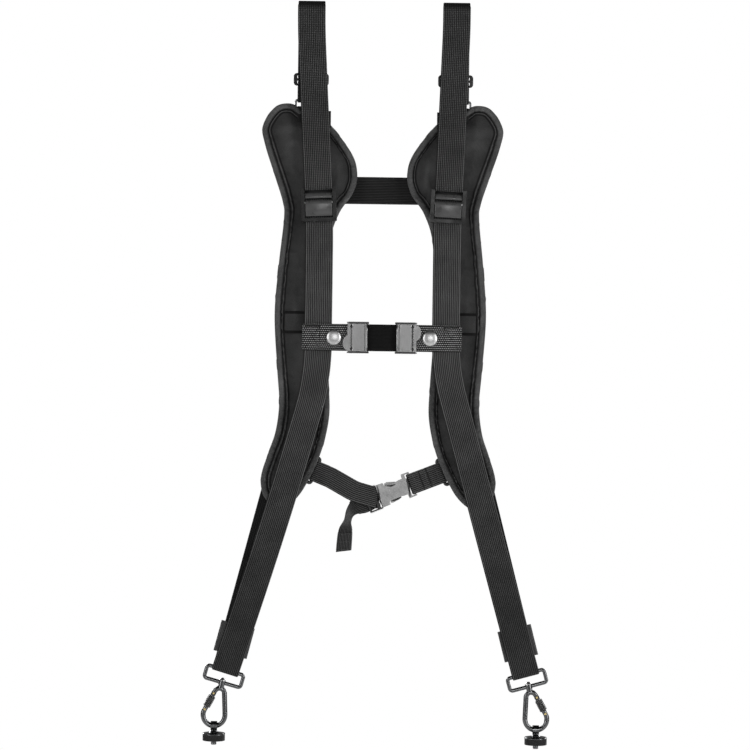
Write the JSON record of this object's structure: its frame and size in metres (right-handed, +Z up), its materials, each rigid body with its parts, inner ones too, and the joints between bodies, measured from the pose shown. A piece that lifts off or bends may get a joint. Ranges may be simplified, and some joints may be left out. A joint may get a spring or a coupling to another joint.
{
  "type": "binocular harness",
  "caption": "Padded double shoulder harness of nylon webbing with cam locks, a chest strap, a lower strap and a swivelling screw-lock carabiner with a camera fastener on each side.",
  "frame": {"origin": "midway between the two top folds of the webbing, level with their tops", "axes": "+Z up along the hanging harness, +X to the viewer's right, +Y to the back"},
  "size_m": [0.4154, 0.0372, 0.8877],
  "materials": {
    "webbing": "ribbed nylon webbing",
    "belt": "flat nylon belt",
    "pad_fabric": "smooth padded fabric",
    "binding": "stitched fabric rim",
    "dark_plastic": "moulded, fine texture",
    "grey_plastic": "moulded, smooth",
    "grey_metal": "satin",
    "gunmetal": "black nickel, polished",
    "bright_steel": "satin",
    "brass": "polished",
    "rubber": "soft, matte"
  },
  "bodies": {
    "harness": {"back_strap": "webbing", "buckle_female": "grey_plastic", "buckle_male": "dark_plastic", "cam_lock_pins": "bright_steel", "lower_strap_tail": "belt", "pad_keeper_bands": "binding", "strap_loop_tabs": "belt", "right_shoulder_pad": "pad_fabric", "left_shoulder_pad": "pad_fabric", "right_pad_binding": "binding", "left_pad_binding": "binding", "right_pad_ring": "gunmetal", "left_pad_ring": "gunmetal", "right_pad_top_tab": "pad_fabric", "left_pad_top_tab": "pad_fabric", "right_top_webbing": "webbing", "left_top_webbing": "webbing", "right_front_webbing": "webbing", "left_front_webbing": "webbing", "right_rear_webbing": "webbing", "left_rear_webbing": "webbing", "right_tri_glide": "dark_plastic", "left_tri_glide": "dark_plastic", "right_cam_lock_frame": "dark_plastic", "left_cam_lock_frame": "dark_plastic", "right_strap_loop": "gunmetal", "left_strap_loop": "gunmetal", "right_lower_strap": "belt", "left_lower_strap": "belt"},
    "chest_strap": {"chest_webbing": "belt", "chest_snaps": "bright_steel", "chest_buckle_pins": "bright_steel", "right_chest_tab": "webbing", "left_chest_tab": "webbing", "right_chest_buckle": "grey_metal", "left_chest_buckle": "grey_metal"},
    "buckle_prong_upper": {"buckle_prong_upper": "grey_plastic"},
    "buckle_prong_lower": {"buckle_prong_lower": "grey_plastic"},
    "right_cam_lever": {"right_cam_lock_lever": "dark_plastic"},
    "right_stopper": {"right_rear_stopper": "dark_plastic"},
    "right_ring": {"right_swivel_ring": "gunmetal"},
    "right_carabiner": {"right_carabiner_body": "gunmetal", "right_gate_rivets": "brass", "right_swivel_rivet": "brass"},
    "right_gate": {"right_carabiner_gate": "gunmetal"},
    "right_sleeve": {"right_lock_sleeve": "gunmetal"},
    "right_fastener": {"right_fastener_body": "gunmetal", "right_fastener_rubber_pad": "rubber"},
    "right_chest_flap": {"right_chest_buckle_flap": "grey_metal"},
    "left_cam_lever": {"left_cam_lock_lever": "dark_plastic"},
    "left_stopper": {"left_rear_stopper": "dark_plastic"},
    "left_ring": {"left_swivel_ring": "gunmetal"},
    "left_carabiner": {"left_carabiner_body": "gunmetal", "left_gate_rivets": "brass", "left_swivel_rivet": "brass"},
    "left_gate": {"left_carabiner_gate": "gunmetal"},
    "left_sleeve": {"left_lock_sleeve": "gunmetal"},
    "left_fastener": {"left_fastener_body": "gunmetal", "left_fastener_rubber_pad": "rubber"},
    "left_chest_flap": {"left_chest_buckle_flap": "grey_metal"}
  },
  "joints": [
    {"name": "chest_strap_slide", "type": "slide", "parent": "harness", "child": "chest_strap", "axis": [0, 0, 1], "range_m": [0, 0.06]},
    {"name": "right_cam_lever_hinge", "type": "hinge", "parent": "harness", "child": "right_cam_lever", "pos_m": [0.07908, -0.017, -0.241], "axis": [-0.999, 0, 0.0449], "range_deg": [0, 85]},
    {"name": "right_stopper_slide", "type": "slide", "parent": "harness", "child": "right_stopper", "axis": [-0.2481, 0.0703, 0.9662], "range_m": [0, 0.06]},
    {"name": "right_ring_tilt", "type": "hinge", "parent": "harness", "child": "right_ring", "pos_m": [0.1785, -0.0097, -0.799], "axis": [0.9636, 0, 0.2672], "range_deg": [-60, 60]},
    {"name": "right_carabiner_swivel", "type": "hinge", "parent": "right_ring", "child": "right_carabiner", "pos_m": [0.18264, -0.0097, -0.81394], "axis": [-0.2283, 0, 0.9736], "continuous": true},
    {"name": "right_gate_hinge", "type": "hinge", "parent": "right_carabiner", "child": "right_gate", "pos_m": [0.19234, -0.0097, -0.82652], "axis": [0, 1, 0], "range_deg": [0, 25], "stiffness_Nm_per_rad": 0.01, "springref_deg": -28.65},
    {"name": "right_sleeve_slide", "type": "slide", "parent": "right_gate", "child": "right_sleeve", "axis": [0.4774, 0, -0.8787], "range_m": [0, 0.0021]},
    {"name": "right_fastener_swing", "type": "hinge", "parent": "right_carabiner", "child": "right_fastener", "pos_m": [0.19171, -0.0097, -0.86532], "axis": [1, 0, 0], "range_deg": [-80, 80]},
    {"name": "right_chest_flap_hinge", "type": "hinge", "parent": "chest_strap", "child": "right_chest_flap", "pos_m": [0.0212, -0.0176, -0.401], "axis": [0, 0, -1], "range_deg": [0, 75]},
    {"name": "left_cam_lever_hinge", "type": "hinge", "parent": "harness", "child": "left_cam_lever", "pos_m": [-0.07508, -0.017, -0.241], "axis": [-0.999, 0, -0.0449], "range_deg": [0, 85]},
    {"name": "left_stopper_slide", "type": "slide", "parent": "harness", "child": "left_stopper", "axis": [0.2481, 0.0703, 0.9662], "range_m": [0, 0.06]},
    {"name": "left_ring_tilt", "type": "hinge", "parent": "harness", "child": "left_ring", "pos_m": [-0.1785, -0.0097, -0.799], "axis": [0.9636, 0, -0.2672], "range_deg": [-60, 60]},
    {"name": "left_carabiner_swivel", "type": "hinge", "parent": "left_ring", "child": "left_carabiner", "pos_m": [-0.18264, -0.0097, -0.81394], "axis": [0.2283, 0, 0.9736], "continuous": true},
    {"name": "left_gate_hinge", "type": "hinge", "parent": "left_carabiner", "child": "left_gate", "pos_m": [-0.19234, -0.0097, -0.82652], "axis": [0, -1, 0], "range_deg": [0, 25], "stiffness_Nm_per_rad": 0.01, "springref_deg": -28.65},
    {"name": "left_sleeve_slide", "type": "slide", "parent": "left_gate", "child": "left_sleeve", "axis": [-0.4774, 0, -0.8787], "range_m": [0, 0.0021]},
    {"name": "left_fastener_swing", "type": "hinge", "parent": "left_carabiner", "child": "left_fastener", "pos_m": [-0.19171, -0.0097, -0.86532], "axis": [1, 0, 0], "range_deg": [-80, 80]},
    {"name": "left_chest_flap_hinge", "type": "hinge", "parent": "chest_strap", "child": "left_chest_flap", "pos_m": [-0.0168, -0.0176, -0.401], "axis": [0, 0, 1], "range_deg": [0, 75]},
    {"name": "buckle_prong_upper_flex", "type": "hinge", "parent": "harness", "child": "buckle_prong_upper", "pos_m": [0.00009, 0.0095, -0.58356], "axis": [0, 1, 0], "range_deg": [0, 7], "stiffness_Nm_per_rad": 0.05, "springref_deg": -5.73},
    {"name": "buckle_prong_lower_flex", "type": "hinge", "parent": "harness", "child": "buckle_prong_lower", "pos_m": [0.00556, 0.0095, -0.59709], "axis": [0, -1, 0], "range_deg": [0, 7], "stiffness_Nm_per_rad": 0.05, "springref_deg": -5.73}
  ]
}
